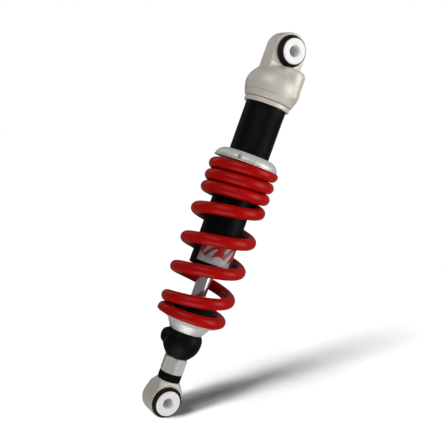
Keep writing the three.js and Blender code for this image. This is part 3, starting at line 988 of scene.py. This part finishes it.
def add_lock_nut():
    flats = 24
    first_corner = -110
    face_radius = flats / 2 - 0.3
    past_corner = flats / math.sqrt(3) + 0.1
    chamfer = [
        (0, NUT_BOTTOM),
        (face_radius, NUT_BOTTOM),
        (past_corner, NUT_BOTTOM + 1.3),
        (past_corner, NUT_TOP - 1.3),
        (face_radius, NUT_TOP),
        (0, NUT_TOP),
    ]
    bore = [
        (0, NUT_BOTTOM - 1),
        (ROD_THREAD + GAP, NUT_BOTTOM - 1),
        (ROD_THREAD + GAP, NUT_TOP + 1),
        (0, NUT_TOP + 1),
    ]
    nut = object_from("lock_nut_fine", prism(hexagon(flats, first_corner), NUT_BOTTOM, NUT_TOP))
    machined(nut, (KEEP, spun(chamfer, 96)), (CUT, spun(bore, 48)))
    finish_piece(nut, "rod_assembly", "steel", "lock_nut", 20)


def add_rebound_ring():
    """The adjuster's ring has flutes for the fingers and a groove inside for the cross pin."""
    bottom, top = low("rebound_ring", Z), high("rebound_ring", Z)
    radius = high("rebound_ring", Y)
    inner = 9.3
    groove = 10.8
    profile = [
        (inner, bottom, 0.2),
        (radius, bottom, 0.7),
        (radius, (bottom + top) / 2),
        (radius, top, 0.7),
        (inner, top, 0.2),
        (inner, top - 1.5),
        (groove, top - 1.5),
        (groove, bottom + 1.3),
        (inner, bottom + 1.3),
    ]
    flutes = 20
    flute_depth = 0.45
    bm = spun(rounded(profile), 240)
    for v in bm.verts:
        r = v.co.xy.length / MM
        depth = flute_depth * max(0, math.cos(flutes * math.atan2(v.co.y, v.co.x))) ** 2
        if r > radius - 0.5:
            v.co.xy *= 1 - depth / r
    piece("rebound_ring", bm, "rebound_knob", "black_anodised")


def add_lower_eye():
    z = EYES["lower"]["z"]
    neck_top = low("rebound_ring", Z) - GAP
    shank_top = NUT_BOTTOM - GAP
    round_end = reversed(arc(LOWER_LUG_RADIUS, -208, 28, 64))
    outline = [(12.6, neck_top - z), *round_end, (-12.6, neck_top - z)]
    half = LOWER_LUG_WIDTH / 2 + SPARE
    slab = object_from("lower_eye_fine", prism(outline, -half, half, None, along_y(z)))
    cone = [(0, z - 30), (24, z - 30), (24, neck_top - 13), (13.2, neck_top), (0, neck_top)]
    machined(slab, (KEEP, spun(cone, 96)))
    blank = bmesh.new()
    blank.from_mesh(slab.data)
    bpy.data.objects.remove(slab)
    shank = rounded([(0, neck_top - 3), (9, neck_top - 3), (9, shank_top, 0.3), (0, shank_top)])
    socket = [
        (0, low("piston_rod", Z) - 2),
        (ROD_THREAD + GAP, low("piston_rod", Z) - 2),
        (ROD_THREAD + GAP, shank_top + 1),
        (0, shank_top + 1),
    ]
    width, height, slot_z = CROSS_SLOT
    eye = machined(
        forged("lower_eye", blank),
        *lug_faces(LOWER_LUG_WIDTH, z - 30, z + 30),
        (CUT, lug_bore("lower", LOWER_LUG_WIDTH)),
        (JOIN, spun(shank, 64)),
        (CUT, spun(socket, 48)),
        (CUT, box(27, width, height, (0, 0, slot_z))),
    )
    finish_piece(eye, "rod_assembly", "champagne_aluminium", "lower_eye")


# ---------------------------------------------------------------- camera, light and floor

CAMERA_AZIMUTH = math.radians(-30.5)
CAMERA_DISTANCE = 815.0
CAMERA_Z = -179.6
AIM_Z = -198.7
CAMERA_ROLL = math.radians(19.7)
LENS = 60.1
FLOOR_Z = CAD_BOX[0].z


def turned_to(forward, roll=0.0):
    """The rotation of a camera or a light that looks forward, rolled clockwise."""
    level = forward.cross(Vector((0, 0, 1))).normalized()
    upright = level.cross(forward)
    right = level * math.cos(roll) + upright * math.sin(roll)
    up = upright * math.cos(roll) - level * math.sin(roll)
    return Matrix((right, up, -forward)).transposed().to_quaternion()


def add_camera():
    data = bpy.data.cameras.new("camera")
    data.lens = LENS
    data.sensor_width = 36
    camera = bpy.data.objects.new("camera", data)
    bpy.context.scene.collection.objects.link(camera)
    bpy.context.scene.camera = camera
    side = Vector((math.sin(CAMERA_AZIMUTH), -math.cos(CAMERA_AZIMUTH), 0)) * CAMERA_DISTANCE
    camera.location = (side + Vector((0, 0, CAMERA_Z))) * MM
    forward = (Vector((0, 0, AIM_Z)) * MM - camera.location).normalized()
    camera.rotation_mode = "QUATERNION"
    camera.rotation_quaternion = turned_to(forward, CAMERA_ROLL)


def add_area_light(name, azimuth, elevation, distance, size, power):
    """A soft light aimed at the middle of the object. Azimuth is counted as the camera's is."""
    data = bpy.data.lights.new(name, "AREA")
    data.shape = "RECTANGLE"
    data.size, data.size_y = size
    data.energy = power
    light = bpy.data.objects.new(name, data)
    bpy.context.scene.collection.objects.link(light)
    a, e = math.radians(azimuth), math.radians(elevation)
    back = Vector((math.sin(a) * math.cos(e), -math.cos(a) * math.cos(e), math.sin(e)))
    middle = (CAD_BOX[0] + CAD_BOX[1]) / 2
    light.location = middle + back * distance
    light.rotation_mode = "QUATERNION"
    light.rotation_quaternion = turned_to(-back)
    return light


# The shadow lights' elevation and angular width in degrees, and their strength on the floor. The high
# one makes the shadow dark and broad near the foot, and the low ones carry it on and let it thin out.
SHADOW_TOWARDS = math.radians(39)
SHADOW_LIGHTS = (
    (5, 5, 1.7),
    (11, 8, 1.3),
    (25, 12, 1.6),
)

# Azimuth and elevation in degrees, distance and size in metres, and power in watts.
SOFTBOXES = {
    "right_softbox": (42, 20, 1.1, (0.6, 1.0), 8),
    "front_softbox": (-60, 40, 1.2, (0.8, 0.8), 5),
    "left_softbox": (-150, 30, 1.2, (0.4, 0.9), 1),
    "floor_glow": (-30, -60, 1.2, (1.0, 1.0), 8),
}
WORLD_SEEN = 1.0
WORLD_LIGHT = 0.17
FLOOR_RADIUS = 30


def add_shadow_light(name, elevation, angle, strength):
    """A distant light that gives the floor its shadow."""
    data = bpy.data.lights.new(name, "SUN")
    elevation = math.radians(elevation)
    data.energy = strength / math.sin(elevation)
    data.angle = math.radians(angle)
    light = bpy.data.objects.new(name, data)
    bpy.context.scene.collection.objects.link(light)
    level = Vector((math.cos(SHADOW_TOWARDS), math.sin(SHADOW_TOWARDS), 0))
    down = Vector((0, 0, -math.sin(elevation)))
    light.rotation_mode = "QUATERNION"
    light.rotation_quaternion = turned_to(level * math.cos(elevation) + down)
    return light


def add_floor():
    """A pale floor that turns as white as the background away from the object."""
    bm = bmesh.new()
    bmesh.ops.create_circle(bm, cap_ends=True, radius=FLOOR_RADIUS, segments=64)
    floor = object_from("floor", bm)
    floor.location.z = FLOOR_Z
    n = Nodes("floor")
    n.finish(
        Base_Color=n.mix(n.noise(40, 4), (0.65, 0.65, 0.65), (0.67, 0.67, 0.67)),
        Roughness=n.spread(n.noise(15), 0.85, 0.95),
    )
    floor.data.materials.append(n.material)
    floor.visible_diffuse = False
    floor.visible_glossy = False
    floor.visible_shadow = False
    return floor


def link_light(light, receiver, state):
    """The light reaches only the receiver, or all but it. Either way the object casts its shadow."""
    group = bpy.data.collections.new(f"{light.name}_reach")
    group.objects.link(receiver)
    group.collection_objects[0].light_linking.link_state = state
    light.light_linking.receiver_collection = group


def add_world():
    """A white background, which lights the object less than it shows."""
    world = bpy.data.worlds.new("world")
    world.use_nodes = True
    bpy.context.scene.world = world
    tree = world.node_tree
    tree.nodes.clear()
    output = tree.nodes.new("ShaderNodeOutputWorld")
    seen = tree.nodes.new("ShaderNodeBackground")
    seen.inputs["Strength"].default_value = WORLD_SEEN
    lit = tree.nodes.new("ShaderNodeBackground")
    lit.inputs["Strength"].default_value = WORLD_LIGHT
    path = tree.nodes.new("ShaderNodeLightPath")
    mix = tree.nodes.new("ShaderNodeMixShader")
    for background in (seen, lit):
        background.inputs["Color"].default_value = (1, 1, 1, 1)
    tree.links.new(path.outputs["Is Camera Ray"], mix.inputs["Fac"])
    tree.links.new(lit.outputs[0], mix.inputs[1])
    tree.links.new(seen.outputs[0], mix.inputs[2])
    tree.links.new(mix.outputs[0], output.inputs["Surface"])


def add_studio():
    add_camera()
    add_world()
    floor = add_floor()
    for number, values in enumerate(SHADOW_LIGHTS):
        link_light(add_shadow_light(f"shadow_light_{number}", *values), floor, "INCLUDE")
    for name, values in SOFTBOXES.items():
        link_light(add_area_light(name, *values), floor, "EXCLUDE")
    bpy.context.scene.view_settings.view_transform = "Standard"
    bpy.context.scene.view_settings.look = "None"


# ---------------------------------------------------------------- the whole scene

def repaint_cad_nodes():
    """The inner pieces stay CAD nodes, and take the material of their slot."""
    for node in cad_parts.values():
        for slot in node.material_slots:
            name = slot.material.name.split(".")[0]
            if name in MATERIALS:
                slot.material = MATERIALS[name]


add_bush("upper", UPPER_LUG_WIDTH)
add_bush("lower", LOWER_LUG_WIDTH)
for eye in EYES:
    add_sleeve(eye)
add_head()
add_valve_plug()
add_lock_ring()
add_tube()
add_label()
add_tube_end()
add_preload_nut()
add_upper_seat()
add_spring()
add_rod()
add_bump_stop()
add_lower_seat()
add_perch()
add_lock_nut()
add_rebound_ring()
add_lower_eye()
repaint_cad_nodes()
add_studio()
